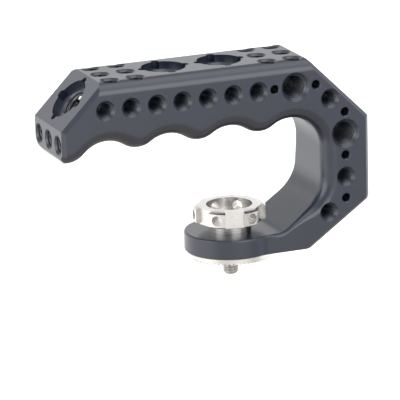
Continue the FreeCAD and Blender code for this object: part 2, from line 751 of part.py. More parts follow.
def cut_teeth(ring):
    before = ring.Shape.Volume
    inner = tooth_section(ring, "tooth_inner", "teeth_start - 1")
    outer = tooth_section(ring, "tooth_outer", "ring_radius + 1")
    groove = ring.newObject("PartDesign::SubtractiveLoft", "tooth_groove")
    groove.Profile = inner
    groove.Sections = [outer]
    checked_cut(ring, groove, before)
    repeat_round(ring, "teeth", [groove], "tooth_count")


def make_ring_screws():
    """The four countersunk screws that hold the ring, with hexagon sockets."""
    screws = []
    for number, (x, y) in enumerate(RING_SCREWS, start=1):
        head = doc.addObject("Part::Cone", "screw_head_%d" % number)
        bind(head, "Radius1", "ring_screw_head")
        bind(head, "Radius2", "ring_screw_radius")
        bind(head, "Height", "ring_screw_head - ring_screw_radius")
        shank = doc.addObject("Part::Cylinder", "screw_shank_%d" % number)
        bind(shank, "Radius", "ring_screw_radius")
        bind(shank, "Height", "ring_screw_length")
        turned = doc.addObject("Part::Fuse", "screw_blank_%d" % number)
        turned.Base = head
        turned.Tool = shank
        socket = doc.addObject("Part::Prism", "screw_socket_%d" % number)
        socket.Polygon = 6
        bind(socket, "Circumradius", "ring_key_flats / 2 / cos(30)")
        bind(socket, "Height", "ring_key_depth")
        screw = doc.addObject("Part::Cut", "ring_screw_%d" % number)
        screw.Base = turned
        screw.Tool = socket
        bind(screw, "Placement.Base.x", x)
        bind(screw, "Placement.Base.y", y)
        bind(screw, "Placement.Base.z", "land_height")
        screws.append(screw)
    group = doc.addObject("Part::Compound", "rosette_screws")
    group.Links = screws
    doc.recompute()
    return group


# The thumb screw

HEAD_LOW = FOOT_TOP + " + neck_height"
HEAD_TOP = HEAD_LOW + " + head_height"
BOWL_FLOOR = HEAD_TOP + " - bowl_depth"
HEAD_BORE = "stud_radius + stud_seat_gap"
WASHER_LOW = SEAT + " - washer_thickness"
CLIP_TOP = WASHER_LOW + " - clip_play"
CLIP_LOW = CLIP_TOP + " - clip_thickness"
GROOVE_LOW = CLIP_LOW + " - clip_play"
CLIP_SEAT = "stud_radius - clip_groove"


def make_head():
    """The thumb screw's head: a round neck and a rim round an open bowl, with slots and lever holes by turns."""
    head = doc.addObject("PartDesign::Body", "thumbscrew_head")
    section = sketch_on(head, "head_section", "XZ_Plane")
    polygon(section, [
        (HEAD_BORE, FOOT_TOP),
        ("neck_radius", FOOT_TOP),
        ("neck_radius", HEAD_LOW),
        ("head_radius - head_break", HEAD_LOW),
        ("head_radius", HEAD_LOW + " + head_slant"),
        ("head_radius", HEAD_TOP + " - head_slant"),
        ("head_radius - head_break", HEAD_TOP),
        ("bowl_radius", HEAD_TOP),
        ("bowl_radius", BOWL_FLOOR),
        (HEAD_BORE, BOWL_FLOOR),
    ])
    revolve(head, "head_turned", section)
    half_step = Rotation(Vector(0, 0, 1), 180 / SIZES["slot_count"])
    slot_view = sketch_on(head, "slot_view", "XY_Plane", {"z": HEAD_TOP}, half_step)
    bind(slot_view, "AttachmentOffset.Rotation.Angle", "180 / slot_count")
    polygon(slot_view, [
        ("slot_floor", "-slot_width / 2"),
        ("head_radius + 1", "-slot_width / 2"),
        ("head_radius + 1", "slot_width / 2"),
        ("slot_floor", "slot_width / 2"),
    ])
    slot = pocket(head, "slot", slot_view, "head_height")
    repeat_round(head, "slots", [slot], "slot_count")
    lever_view = sketch_on(head, "lever_view", "YZ_Plane", {"z": "head_radius"})
    circles(lever_view, [("0", HEAD_LOW + " + head_height / 2")], "lever_radius")
    lever = pocket(head, "lever_hole", lever_view, "head_radius - bowl_radius + 1")
    repeat_round(head, "lever_holes", [lever], "slot_count")
    head.Placement = Placement(Vector(), Rotation(Vector(0, 0, 1), SIZES["head_turn"]))
    bind(head, "Placement.Rotation.Angle", "head_turn")
    doc.recompute()
    return head


def make_stud():
    """The stud: a plain bar with a hexagon socket on top, a clip groove below the foot's web and a rounded tip."""
    stud = doc.addObject("PartDesign::Body", "clamp_stud")
    section = sketch_on(stud, "stud_section", "XZ_Plane")
    polygon(section, [
        ("0", "-stud_reach"),
        ("stud_radius", "-stud_reach"),
        ("stud_radius", GROOVE_LOW),
        (CLIP_SEAT, GROOVE_LOW),
        (CLIP_SEAT, WASHER_LOW),
        ("stud_radius", WASHER_LOW),
        ("stud_radius", BOWL_FLOOR),
        ("0", BOWL_FLOOR),
    ])
    revolve(stud, "stud_turned", section)

    def is_tip(middle):
        return touching(middle.z, -amount("stud_reach")) and touching(abs(middle.x), amount("stud_radius"))

    dress(stud, "tip_round", "Fillet", "Radius", "stud_tip", is_tip)
    socket_view = sketch_on(stud, "socket_view", "XY_Plane", {"z": BOWL_FLOOR})
    corner = "key_flats / 2 / cos(30)"
    polygon(socket_view, [("%s * %s" % (corner, across), "0" if up is None else "%s * %s" % (corner, up))
                          for across, up in (("1", None), ("cos(60)", "sin(60)"), ("-cos(60)", "sin(60)"),
                                             ("-1", None), ("-cos(60)", "-sin(60)"), ("cos(60)", "-sin(60)"))])
    pocket(stud, "key_socket", socket_view, "key_depth")
    return stud


def make_washer():
    washer = doc.addObject("PartDesign::Body", "clip_washer")
    view = sketch_on(washer, "washer_view", "XY_Plane", {"z": WASHER_LOW})
    circles(view, [("0", "0")], "washer_radius")
    circles(view, [("0", "0")], "stud_radius + washer_gap")
    pad(washer, "washer_pad", view, "washer_thickness")
    return washer


def make_clip():
    """The retaining clip: a ring in the stud's groove, open on one side."""
    clip = doc.addObject("PartDesign::Body", "retaining_clip")
    view = sketch_on(clip, "clip_view", "XY_Plane", {"z": CLIP_LOW})
    circles(view, [("0", "0")], "clip_radius")
    circles(view, [("0", "0")], CLIP_SEAT + " + stud_seat_gap")
    pad(clip, "clip_pad", view, "clip_thickness")
    mouth = sketch_on(clip, "mouth_view", "XY_Plane", {"z": CLIP_TOP})
    polygon(mouth, [
        ("0", "-clip_mouth / 2"),
        ("clip_radius + 1", "-clip_mouth / 2"),
        ("clip_radius + 1", "clip_mouth / 2"),
        ("0", "clip_mouth / 2"),
    ])
    pocket(clip, "mouth", mouth, "clip_thickness")
    return clip


blank = make_blank()
rounded = round_inside(blank)
frame = make_frame(rounded)
pieces = [frame, make_ring(), make_ring_screws(), make_head(), make_stud(), make_washer(), make_clip()]

doc.recompute()
for feature in doc.Objects:
    if "Invalid" in feature.State or "Error" in feature.State:
        raise RuntimeError(feature.Label + " has not been built")
for piece in pieces:
    if piece.Shape.isNull() or not piece.Shape.isValid():
        raise RuntimeError(piece.Label + " is not a valid shape")

os.makedirs("parts", exist_ok=True)
for piece in pieces:
    print(piece.Label, len(piece.Shape.Solids), round(piece.Shape.Volume, 2), piece.Shape.BoundBox)
    piece.Shape.exportStep("parts/%s.step" % piece.Label)
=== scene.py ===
"""Camera top handle: the finish of each piece, its screw threads and the studio round it."""

import json
import math

import bmesh
import bpy
from bpy.props import FloatProperty, FloatVectorProperty, IntProperty, PointerProperty
from mathutils import Matrix, Vector

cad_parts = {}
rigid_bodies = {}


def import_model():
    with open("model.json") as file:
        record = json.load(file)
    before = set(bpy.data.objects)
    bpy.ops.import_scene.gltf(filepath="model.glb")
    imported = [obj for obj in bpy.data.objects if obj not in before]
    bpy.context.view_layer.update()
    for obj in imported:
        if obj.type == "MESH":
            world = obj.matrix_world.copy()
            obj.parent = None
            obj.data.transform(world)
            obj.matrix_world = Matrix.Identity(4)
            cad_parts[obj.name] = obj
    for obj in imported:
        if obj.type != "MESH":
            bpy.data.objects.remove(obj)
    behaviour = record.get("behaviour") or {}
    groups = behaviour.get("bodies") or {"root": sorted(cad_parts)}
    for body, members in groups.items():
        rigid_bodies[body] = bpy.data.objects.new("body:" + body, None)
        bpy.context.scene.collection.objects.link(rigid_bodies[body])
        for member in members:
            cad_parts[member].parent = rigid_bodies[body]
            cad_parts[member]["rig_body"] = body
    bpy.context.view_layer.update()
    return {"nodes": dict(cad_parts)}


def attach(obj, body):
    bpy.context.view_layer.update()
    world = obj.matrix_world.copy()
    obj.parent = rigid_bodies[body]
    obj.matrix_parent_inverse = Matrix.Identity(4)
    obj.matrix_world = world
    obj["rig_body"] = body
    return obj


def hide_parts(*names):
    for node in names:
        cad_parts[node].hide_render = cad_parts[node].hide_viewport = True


bl_info = {
    "name": "Camera Top Handle",
    "version": (1, 0, 0),
    "blender": (4, 5, 0),
    "location": "View3D > Sidebar > Handle",
    "description": "Dresses the top handle: anodised frame, threaded holes, steel rosette and thumb screw",
    "category": "Object",
}

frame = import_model()

MM = 0.001
TURN = 2 * math.pi

# Sizes repeated from the solids, in millimetres

SIDE = 15.5
TOP = 75.1
NOSE = -70.4
ROW_HEIGHT = 65.31
ROW_START = -53.56
ROW_PITCH = 10.0
ROW_COUNT = 7
ARM_HOLES = ((34.98, 59.36), (41.0, 28.74), (33.94, 15.81))
SIDE_MOUNTS = ((21.14, ROW_HEIGHT), (41.0, 45.3))
TOP_COLUMNS = (-49.72, -39.72, 12.12, 22.12)
TOP_MOUNTS = (-24.8, -2.8)
NOSE_HEIGHT = 53.15
BEVEL_FOOT = (NOSE, TOP - 16.05)
BEVEL_MOUNT = 11.95
POCKET_DEPTH = 2.2
GROOVES = ((20.15, 40.5), (-4.0, 40.5), (-28.15, 40.5), (-52.3, 40.5))
GROOVE_RADIUS = 12.3
RIDGES = ((8.075, 58.35), (-16.075, 58.35), (-40.225, 58.35), (-67.5, 55.78))
RIDGE_RADIUS = 9.25
RIDGE_HALF = 5.18
QUARTER = 3.2
QUARTER_LIP = 0.55
QUARTER_PITCH = 1.27
LARGE = 4.8
LARGE_LIP = 0.8
POCKET_LIP = 0.45
LARGE_PITCH = 1.5875
STUD_TIP = -7.3
STUD_TOP = 14.43
CLIP_GROOVE = (2.3, 3.1)
STUD_RADIUS = 3.0
STUD_ROOT = 2.42
STUD_PITCH = 1.0
STUD_END = 1.9
STUD_END_THREAD = 2.1
STUD_LEAD = 0.15
STUD_LEAD_SLOPE = 1.1
STUD_RUN_OUT = 0.6
STUD_PLAIN = 0.5
STUD_CHAMFER = 0.2
CLIP_GROOVE_RADIUS = 2.4
KEY_HALF = 1.5
KEY_DEPTH = 3.0
KEY_POINT = 3.4

# Threads: how long they are and how they are cut, in millimetres or as a share of the pitch

ACROSS = (-10.0, 0.0, 10.0)
TOP_THREAD = 3.95
NOSE_THREAD = 7.45
MOUNT_THREAD = 24.0
BEVEL_THREAD = 29.0
ROW_MARGIN = 1.2
BEVEL_MARGIN = 0.5
GRIP_MARGIN = 0.2
ROOT_FLAT = 0.12
FLANK = 0.7
HOLE_ROWS = 8
STUD_ROWS = 10
STUD_COLUMNS = 48

# Finishes: how many grains there are to a metre, how much paler the threads are painted than the skin,
# as painted light that lifts the shade inside the holes, and the angles past which an edge stays sharp

THREAD_PAINTED_LIFT = 0.012
FINE_SCALE = 5200.0
CLOUD_SCALE = 70.0
SMUDGE_SCALE = 240.0
FLOOR_SCALE = 3.0
SHARP_EDGE = 28.0
TOOTH_EDGE = 20.0
STUD_EDGE = 40.0

# The studio, in metres, watts and degrees of azimuth and elevation

FLOOR_HALF = 6.0
NEAR_CARD_RISE = 0.03
FAR_CARD_RISE = 0.015
LAMP_PLACE = (0.2, -0.30, 0.9)
LAMP_AIM = (0.0, 0.0, 0.04)
LAMP_SIZE = (1.0, 0.8)
LAMP_POWER = 2.6
ROOM_LIGHT = 0.40
SWEEP_LIGHT = 0.95
OVERHEAD_LIGHT = 0.45
SWEEP_WAY = (68.0, 0.0)
LEFT_BOX_WAY = (-169.0, 14.0)
RIGHT_BOX_WAY = (-76.0, 14.0)
DIP_WAY = (113.0, 8.0)
SLOPE_BOX_WAY = (106.0, 27.0)
CAMERA_PLACE = (-0.49114, -1.19928, 0.39040)
CAMERA_AIM = (-0.011674, 0.0, 0.022528)
CAMERA_ROLL = -1.5085
LENS = 325.21
SENSOR = 36.0


class Reading:
    """A node's output that is used like a number: arithmetic on it adds Math nodes."""

    def __init__(self, graph, socket):
        self.graph = graph
        self.socket = socket

    def __add__(self, other):
        return self.graph.maths("ADD", self, other)

    def __sub__(self, other):
        return self.graph.maths("SUBTRACT", self, other)

    def __rsub__(self, other):
        return self.graph.maths("SUBTRACT", other, self)

    def __mul__(self, other):
        return self.graph.maths("MULTIPLY", self, other)

    def __truediv__(self, other):
        return self.graph.maths("DIVIDE", self, other)

    __radd__ = __add__
    __rmul__ = __mul__

    def root(self):
        return self.graph.maths("SQRT", self)


class Graph:
    """A node tree under construction."""

    def __init__(self, tree):
        self.tree = tree

    def add(self, kind, settings, inputs, output=0):
        """Add a node, with its settings first and then the values or links of its sockets."""
        node = self.tree.nodes.new(kind)
        for name, value in settings.items():
            setattr(node, name, value)
        for name, value in inputs.items():
            if isinstance(value, Reading):
                self.tree.links.new(value.socket, node.inputs[name])
            else:
                node.inputs[name].default_value = value
        return Reading(self, node.outputs[output])

    def maths(self, operation, *values):
        return self.add("ShaderNodeMath", {"operation": operation}, dict(enumerate(values)))

    def axes(self, vector):
        """Split a vector into readings of its X, Y and Z."""
        node = self.tree.nodes.new("ShaderNodeSeparateXYZ")
        self.tree.links.new(vector.socket, node.inputs[0])
        return [Reading(self, out) for out in node.outputs]


class Finish(Graph):
    """A material built round one Principled shader."""

    def __init__(self, name):
        self.material = bpy.data.materials.new(name)
        self.material.use_nodes = True
        super().__init__(self.material.node_tree)
        self.shader = self.tree.nodes["Principled BSDF"]

    def place(self):
        return self.add("ShaderNodeTexCoord", {}, {}, "Object")

    def noise(self, vector, scale, detail=2.0, roughness=0.5):
        inputs = {"Vector": vector, "Scale": scale, "Detail": detail, "Roughness": roughness}
        return self.add("ShaderNodeTexNoise", {}, inputs, "Fac")

    def vector(self, x, y, z):
        return self.add("ShaderNodeCombineXYZ", {}, {0: x, 1: y, 2: z})

    def mix(self, factor, first, second):
        return self.add("ShaderNodeMix", {"data_type": "RGBA"}, {0: factor, 6: first, 7: second}, 2)

    def blend(self, factor, first, second):
        return self.mix(factor, tuple(first) + (1.0,), tuple(second) + (1.0,))

    def bump(self, height, strength, distance):
        return self.add("ShaderNodeBump", {}, {"Height": height, "Strength": strength, "Distance": distance})

    def put(self, **values):
        """Set the shader's own sockets, with _ for a space in their names."""
        for name, value in values.items():
            socket = self.shader.inputs[name.replace("_", " ")]
            if isinstance(value, Reading):
                self.tree.links.new(value.socket, socket)
            else:
                socket.default_value = value


def shade(colour, share):
    return tuple(min(1.0, c * share) for c in colour)


def anodised(name, colour, roughness):
    """Satin anodised aluminium: a dark dyed skin with a fine blasted grain."""
    finish = Finish(name)
    place = finish.place()
    grain = finish.noise(place, FINE_SCALE, 3.0, 0.6)
    cloud = finish.noise(place, CLOUD_SCALE)
    finish.put(Base_Color=finish.blend(0.65 * cloud + 0.35 * grain, shade(colour, 0.86), shade(colour, 1.16)))
    finish.put(Roughness=(roughness - 0.06) + 0.08 * grain + 0.04 * cloud, Metallic=0.0, IOR=1.7)
    finish.put(Normal=finish.bump(grain, 0.10, 0.00003))
    return finish.material


def turned_steel(name, colour, roughness):
    """Stainless steel turned on a lathe: fine lines that run round the Z axis."""
    finish = Finish(name)
    place = finish.place()
    x, y, z = finish.axes(place)
    radius = (x * x + y * y).root()
    lines = finish.noise(finish.vector(radius, z, 0.0), FINE_SCALE, 2.0, 0.7)
    smudge = finish.noise(place, SMUDGE_SCALE)
    finish.put(Base_Color=finish.blend(0.6 * lines + 0.4 * smudge, shade(colour, 0.90), shade(colour, 1.05)))
    finish.put(Roughness=(roughness - 0.06) + 0.09 * lines + 0.05 * smudge, Metallic=1.0)
    finish.put(Normal=finish.bump(lines, 0.9, 0.00002))
    return finish.material


def plain_floor(name, colour, glow, card_colour=None, card_glow=0.0):
    """The pale floor, or a card over it, which the camera sees as floor and the handle mirrors as a card."""
    finish = Finish(name)
    soft = finish.noise(finish.place(), FLOOR_SCALE)
    pale = finish.blend(soft, colour, shade(colour, 0.97))
    light = (glow, glow, glow, 1.0)
    if card_colour:
        shown = finish.add("ShaderNodeLightPath", {}, {}, "Is Camera Ray")
        pale = finish.mix(shown, tuple(card_colour) + (1.0,), pale)
        light = finish.mix(shown, (card_glow, card_glow, card_glow, 1.0), light)
    finish.put(Base_Color=pale, Roughness=0.9, Emission_Color=light, Emission_Strength=1.0)
    return finish.material


def link_mesh(name, mesh, material):
    piece = bpy.data.objects.new(name, mesh)
    bpy.context.scene.collection.objects.link(piece)
    mesh.materials.clear()
    mesh.materials.append(material)
    return piece


def dress_copy(node, name, material, sharp=SHARP_EDGE):
    """Replace a CAD node by a merged copy of its mesh, smooth but for its real edges."""
    mesh = frame["nodes"][node].data.copy()
    mesh.name = name
    work = bmesh.new()
    work.from_mesh(mesh)
    bmesh.ops.remove_doubles(work, verts=work.verts, dist=1e-6)
    bmesh.ops.dissolve_degenerate(work, edges=work.edges, dist=1e-7)
    work.to_mesh(mesh)
    work.free()
    for layer in list(mesh.uv_layers):
        mesh.uv_layers.remove(layer)
    if mesh.attributes.get("custom_normal"):
        mesh.attributes.remove(mesh.attributes["custom_normal"])
    mesh.shade_smooth()
    mesh.set_sharp_from_angle(angle=math.radians(sharp))
    piece = link_mesh(name, mesh, material)
    weigh = piece.modifiers.new("Even faces", "WEIGHTED_NORMAL")
    weigh.mode = "FACE_AREA"
    weigh.weight = 100
    weigh.keep_sharp = True
    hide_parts(node)
    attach(piece, frame["nodes"][node]["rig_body"])


def socket_named(tree, name):
    return next(item.identifier for item in tree.interface.items_tree if item.name == name)


def thread_tree():
    """A node group that lines a hole at each point with a screw thread.

    Each point's place is the hole's mouth, and its turn attribute points local Z out of the hole.
    """
    tree = bpy.data.node_groups.new("Hole Thread", "GeometryNodeTree")
    face = tree.interface
    face.new_socket("Geometry", in_out="INPUT", socket_type="NodeSocketGeometry")
    for name in ("Root Radius", "Crest Radius", "Pitch", "Length"):
        face.new_socket(name, in_out="INPUT", socket_type="NodeSocketFloat")
    for name in ("Columns", "Rows"):
        face.new_socket(name, in_out="INPUT", socket_type="NodeSocketInt")
    face.new_socket("Finish", in_out="INPUT", socket_type="NodeSocketMaterial")
    face.new_socket("Geometry", in_out="OUTPUT", socket_type="NodeSocketGeometry")
    graph = Graph(tree)
    entry = tree.nodes.new("NodeGroupInput")
    given = {out.name: Reading(graph, out) for out in entry.outputs if out.name}
    grid = graph.add("GeometryNodeMeshGrid", {}, {
        "Size X": 1.0,
        "Size Y": 1.0,
        "Vertices X": given["Columns"],
        "Vertices Y": given["Rows"],
    }, "Mesh")
    across, along = graph.axes(graph.add("GeometryNodeInputPosition", {}, {}))[:2]
    around = across + 0.5
    depth = (along + 0.5) * given["Length"]
    phase = graph.maths("FRACT", depth / given["Pitch"] - around + 1.0)
    ridge = 1.0 - graph.maths("ABSOLUTE", phase * 2.0 - 1.0)
    rise = graph.maths("MINIMUM", graph.maths("MAXIMUM", (ridge - ROOT_FLAT) / FLANK, 0.0), 1.0)
    wall = given["Root Radius"] - (given["Root Radius"] - given["Crest Radius"]) * rise
    fade = given["Root Radius"] - graph.maths("MINIMUM", depth, given["Length"] - depth)
    radius = graph.maths("MAXIMUM", wall, fade)
    angle = around * TURN
    place = graph.add("ShaderNodeCombineXYZ", {}, {
        0: radius * graph.maths("COSINE", angle),
        1: radius * graph.maths("SINE", angle),
        2: depth * -1.0,
    })
    shaped = graph.add("GeometryNodeSetPosition", {}, {"Geometry": grid, "Position": place})
    closed = graph.add("GeometryNodeMergeByDistance", {}, {"Geometry": shaped, "Distance": 1e-6})
    smooth = graph.add("GeometryNodeSetShadeSmooth", {}, {"Geometry": closed, "Shade Smooth": True})
    turn = graph.add("GeometryNodeInputNamedAttribute", {"data_type": "FLOAT_VECTOR"}, {"Name": "turn"})
    copies = graph.add("GeometryNodeInstanceOnPoints", {}, {
        "Points": given["Geometry"],
        "Instance": smooth,
        "Rotation": turn,
    })
    real = graph.add("GeometryNodeRealizeInstances", {}, {"Geometry": copies})
    painted = graph.add("GeometryNodeSetMaterial", {}, {"Geometry": real, "Material": given["Finish"]})
    out = tree.nodes.new("NodeGroupOutput")
    tree.links.new(painted.socket, out.inputs[0])
    return tree


def line_holes(name, holes, root, crest, pitch, length, material, columns):
    """Make the threads of like holes, each given by its mouth in millimetres and the way out of it."""
    mesh = bpy.data.meshes.new(name)
    mesh.from_pydata([Vector(mouth) * MM for mouth, way in holes], [], [])
    turns = mesh.attributes.new("turn", "FLOAT_VECTOR", "POINT")
    for entry, (mouth, way) in zip(turns.data, holes):
        entry.vector = Vector(way).to_track_quat("Z", "Y").to_euler()
    seed = bpy.data.objects.new(name + " seed", mesh)
    bpy.context.scene.collection.objects.link(seed)
    tree = bpy.data.node_groups.get("Hole Thread") or thread_tree()
    liner = seed.modifiers.new("Thread", "NODES")
    liner.node_group = tree
    values = {
        "Root Radius": root * MM,
        "Crest Radius": crest * MM,
        "Pitch": pitch * MM,
        "Length": length * MM,
        "Columns": columns + 1,
        "Rows": int(length / pitch * HOLE_ROWS) + 1,
        "Finish": material,
    }
    for label, value in values.items():
        liner[socket_named(tree, label)] = value
    bpy.context.view_layer.update()
    evaluated = seed.evaluated_get(bpy.context.evaluated_depsgraph_get())
    made = bpy.data.meshes.new_from_object(evaluated)
    made.name = name
    bpy.data.objects.remove(seed)
    return made


def trim(mesh, outside):
    """Remove the faces whose middle, in millimetres, lies outside the metal."""
    work = bmesh.new()
    work.from_mesh(mesh)
    gone = [face for face in work.faces if outside(face.calc_center_median() / MM)]
    bmesh.ops.delete(work, geom=gone, context="FACES")
    work.to_mesh(mesh)
    work.free()


def join_meshes(name, meshes, material):
    work = bmesh.new()
    for mesh in meshes:
        work.from_mesh(mesh)
    joined = bpy.data.meshes.new(name)
    work.to_mesh(joined)
    work.free()
    joined.shade_smooth()
    return link_mesh(name, joined, material)


def bevel_point(depth):
    """A point on the bevel mount's axis, below the bevel's face."""
    slope = math.sqrt(0.5)
    x = BEVEL_FOOT[0] + BEVEL_MOUNT * slope + depth * slope
    z = BEVEL_FOOT[1] + BEVEL_MOUNT * slope - depth * slope
    return (x, 0.0, z)


def under_grip(point):
    """Tell whether a point lies below the grip's waved underside, or less than a face's width above it."""
    for x, z in RIDGES:
        if abs(point.x - x) < RIDGE_HALF:
            return point.z < z - math.sqrt(RIDGE_RADIUS ** 2 - (point.x - x) ** 2) + GRIP_MARGIN
    for x, z in GROOVES:
        if abs(point.x - x) < GROOVE_RADIUS:
            return point.z < z + math.sqrt(GROOVE_RADIUS ** 2 - (point.x - x) ** 2) + GRIP_MARGIN
    return False


def in_top_mount(point):
    """Tell whether a point lies in one of the two large holes on top."""
    return any(math.hypot(point.x - x, point.y) < LARGE for x in TOP_MOUNTS)


def in_bevel_mount(point, margin=0.0):
    """Tell whether a point lies in the bevel's large hole, or nearer to it than the margin."""
    x, _, z = bevel_point(0.0)
    across = (point.x - x + point.z - z) * math.sqrt(0.5)
    return math.hypot(across, point.y) < LARGE + margin


def in_side_row(point, margin=0.0):
    """Tell whether a point lies in one of the side row's holes, or nearer to it than the margin."""
    row = [ROW_START + ROW_PITCH * i for i in range(ROW_COUNT)]
    return any(math.hypot(point.x - x, point.z - ROW_HEIGHT) < QUARTER + margin for x in row)


class HandleLooks(bpy.types.PropertyGroup):
    anodised_colour: FloatVectorProperty(
        name="Anodised Colour",
        description="Colour of the frame's dyed skin",
        subtype="COLOR",
        default=(0.013, 0.019, 0.036),
        min=0.0,
        max=1.0,
    )
    steel_colour: FloatVectorProperty(
        name="Steel Colour",
        description="Colour of the turned steel",
        subtype="COLOR",
        default=(0.73, 0.712, 0.69),
        min=0.0,
        max=1.0,
    )
    steel_roughness: FloatProperty(
        name="Steel Roughness",
        description="Roughness of the turned steel",
        subtype="FACTOR",
        default=0.26,
        min=0.0,
        max=1.0,
    )
    thread_depth: FloatProperty(
        name="Thread Depth",
        description="Depth of a thread as a share of its pitch",
        subtype="FACTOR",
        default=0.5,
        min=0.1,
        max=0.61,
    )
    root_gap: FloatProperty(
        name="Root Gap",
        description="How far a thread's root stands in from the hole's wall",
        subtype="DISTANCE",
        unit="LENGTH",
        default=0.00004,
        min=0.0,
        max=0.0002,
    )
    floor_colour: FloatVectorProperty(
        name="Floor Colour",
        description="Colour of the studio floor",
        subtype="COLOR",
        default=(0.95, 0.95, 0.95),
        min=0.0,
        max=1.0,
    )
    floor_glow: FloatProperty(
        name="Floor Glow",
        description="Light given off by the floor, which keeps it white",
        subtype="FACTOR",
        default=0.57,
        min=0.0,
        max=1.0,
    )
    floor_drop: FloatProperty(
        name="Floor Drop",
        description="Floor below the rosette",
        subtype="DISTANCE",
        unit="LENGTH",
        default=0.30,
        min=0.0,
    )
    light_level: FloatProperty(
        name="Light Level",
        description="Strength of the light from all round",
        default=1.06,
        min=0.0,
    )
    thread_columns: IntProperty(
        name="Thread Columns",
        description="Faces round each thread",
        default=40,
        min=12,
        max=96,
    )


class HANDLE_OT_frame(bpy.types.Operator):
    """Dress the aluminium frame"""
    bl_idname = "handle.frame"
    bl_label = "Frame"

    def execute(self, context):
        looks = context.scene.handle_looks
        skin = anodised("anodised aluminium", looks.anodised_colour, roughness=0.29)
        dress_copy("handle_frame", "top_handle_frame", skin)
        return {"FINISHED"}


class HANDLE_OT_threads(bpy.types.Operator):
    """Cut the screw threads into the frame's holes"""
    bl_idname = "handle.threads"
    bl_label = "Threads"

    def execute(self, context):
        looks = context.scene.handle_looks
        # The threads are painted lighter than the frame's skin: painted light that lifts the shade inside the
        # holes.
        lifted_colour = tuple(c + THREAD_PAINTED_LIFT for c in looks.anodised_colour)
        skin = anodised("anodised threads painted lighter", lifted_colour, roughness=0.27)

        def lined(name, holes, radius, pitch, length):
            root = radius - looks.root_gap / MM
            crest = radius - looks.thread_depth * pitch
            return line_holes(name, holes, root, crest, pitch, length, skin, looks.thread_columns)

        near = -(SIDE - QUARTER_LIP)
        row = [((ROW_START + ROW_PITCH * i, near, ROW_HEIGHT), (0, -1, 0)) for i in range(ROW_COUNT)]
        arm = [((x, near, z), (0, -1, 0)) for x, z in ARM_HOLES]
        through = 2 * (SIDE - QUARTER_LIP)
        row_threads = lined("row threads", row, QUARTER, QUARTER_PITCH, through)
        trim(row_threads, lambda point: in_top_mount(point) or in_bevel_mount(point, ROW_MARGIN))
        arm_threads = lined("arm threads", arm, QUARTER, QUARTER_PITCH, through)
        sides = join_meshes("side_threads", [row_threads, arm_threads], skin)

        patch = [((x, y, TOP - QUARTER_LIP), (0, 0, 1)) for x in TOP_COLUMNS for y in ACROSS]
        nose = [((NOSE + QUARTER_LIP, y, NOSE_HEIGHT), (-1, 0, 0)) for y in ACROSS]
        top_threads = lined("top threads", patch, QUARTER, QUARTER_PITCH, TOP_THREAD)
        nose_threads = lined("nose threads", nose, QUARTER, QUARTER_PITCH, NOSE_THREAD)
        ends = join_meshes("top_and_nose_threads", [top_threads, nose_threads], skin)

        mouth = -(SIDE - LARGE_LIP)
        large = [((x, mouth, z), (0, -1, 0)) for x, z in SIDE_MOUNTS]
        large_threads = lined("large threads", large, LARGE, LARGE_PITCH, -2 * mouth)
        floor_height = TOP - POCKET_DEPTH - POCKET_LIP
        down = [((x, 0.0, floor_height), (0, 0, 1)) for x in TOP_MOUNTS]
        down_threads = lined("mount threads", down, LARGE, LARGE_PITCH, MOUNT_THREAD)
        trim(down_threads, lambda point: under_grip(point) or in_side_row(point))
        slant = [(bevel_point(POCKET_DEPTH + POCKET_LIP), (-1, 0, 1))]
        slant_threads = lined("bevel threads", slant, LARGE, LARGE_PITCH, BEVEL_THREAD)
        trim(slant_threads, lambda point: under_grip(point) or in_side_row(point, BEVEL_MARGIN))
        mounts = join_meshes("mount_threads", [large_threads, down_threads, slant_threads], skin)

        for piece in (sides, ends, mounts):
            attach(piece, "handle")
        return {"FINISHED"}


class HANDLE_OT_rosette(bpy.types.Operator):
    """Dress the toothed ring and its screws"""
    bl_idname = "handle.rosette"
    bl_label = "Rosette"

    def execute(self, context):
        looks = context.scene.handle_looks
        steel = turned_steel("ring steel", looks.steel_colour, looks.steel_roughness + 0.06)
        dark = turned_steel("fastener steel", shade(looks.steel_colour, 0.8), roughness=0.34)
        dress_copy("rosette_ring", "toothed_ring", steel, TOOTH_EDGE)
        dress_copy("rosette_screws", "ring_screws", dark)
        dress_copy("clip_washer", "clip_washer_ring", dark)
        dress_copy("retaining_clip", "retaining_ring", dark)
        return {"FINISHED"}


class HANDLE_OT_thumb_screw(bpy.types.Operator):
    """Dress the thumb screw's head"""
    bl_idname = "handle.thumb_screw"
    bl_label = "Thumb Screw"

    def execute(self, context):
        looks = context.scene.handle_looks
        steel = turned_steel("turned steel", looks.steel_colour, looks.steel_roughness)
        dress_copy("thumbscrew_head", "slotted_head", steel)
        return {"FINISHED"}


class HANDLE_OT_stud(bpy.types.Operator):
    """Make the threaded stud"""
    bl_idname = "handle.stud"
    bl_label = "Stud"

    def execute(self, context):
        looks = context.scene.handle_looks
        steel = turned_steel("stud steel", shade(looks.steel_colour, 0.78), roughness=0.32)
        stud = link_mesh("threaded_stud", threaded_stud(), steel)
        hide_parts("clamp_stud")
        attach(stud, "thumb_screw")
        return {"FINISHED"}


def stud_thread():
    """The stud's threaded rows, from a narrow lead at the tip up to where the thread runs out."""
    low = STUD_TIP + STUD_LEAD
    high = CLIP_GROOVE[0] - STUD_PLAIN
    step = STUD_PITCH / STUD_ROWS
    rows = []
    for i in range(int(round((high - low) / step)) + 1):
        z = low + step * i
        lead = STUD_END_THREAD + (z - low) * STUD_LEAD_SLOPE
        run_out = STUD_ROOT + (z - (high - STUD_RUN_OUT))
        row = []
        for k in range(STUD_COLUMNS):
            phase = (z / STUD_PITCH - k / STUD_COLUMNS) % 1.0
            rise = min(max((1 - abs(2 * phase - 1) - ROOT_FLAT) / FLANK, 0.0), 1.0)
            radius = STUD_ROOT + (STUD_RADIUS - STUD_ROOT) * rise
            row.append((max(min(radius, lead), min(run_out, STUD_RADIUS)), z))
        rows.append(row)
    return rows + [[(STUD_RADIUS, high + STUD_CHAMFER)] * STUD_COLUMNS]


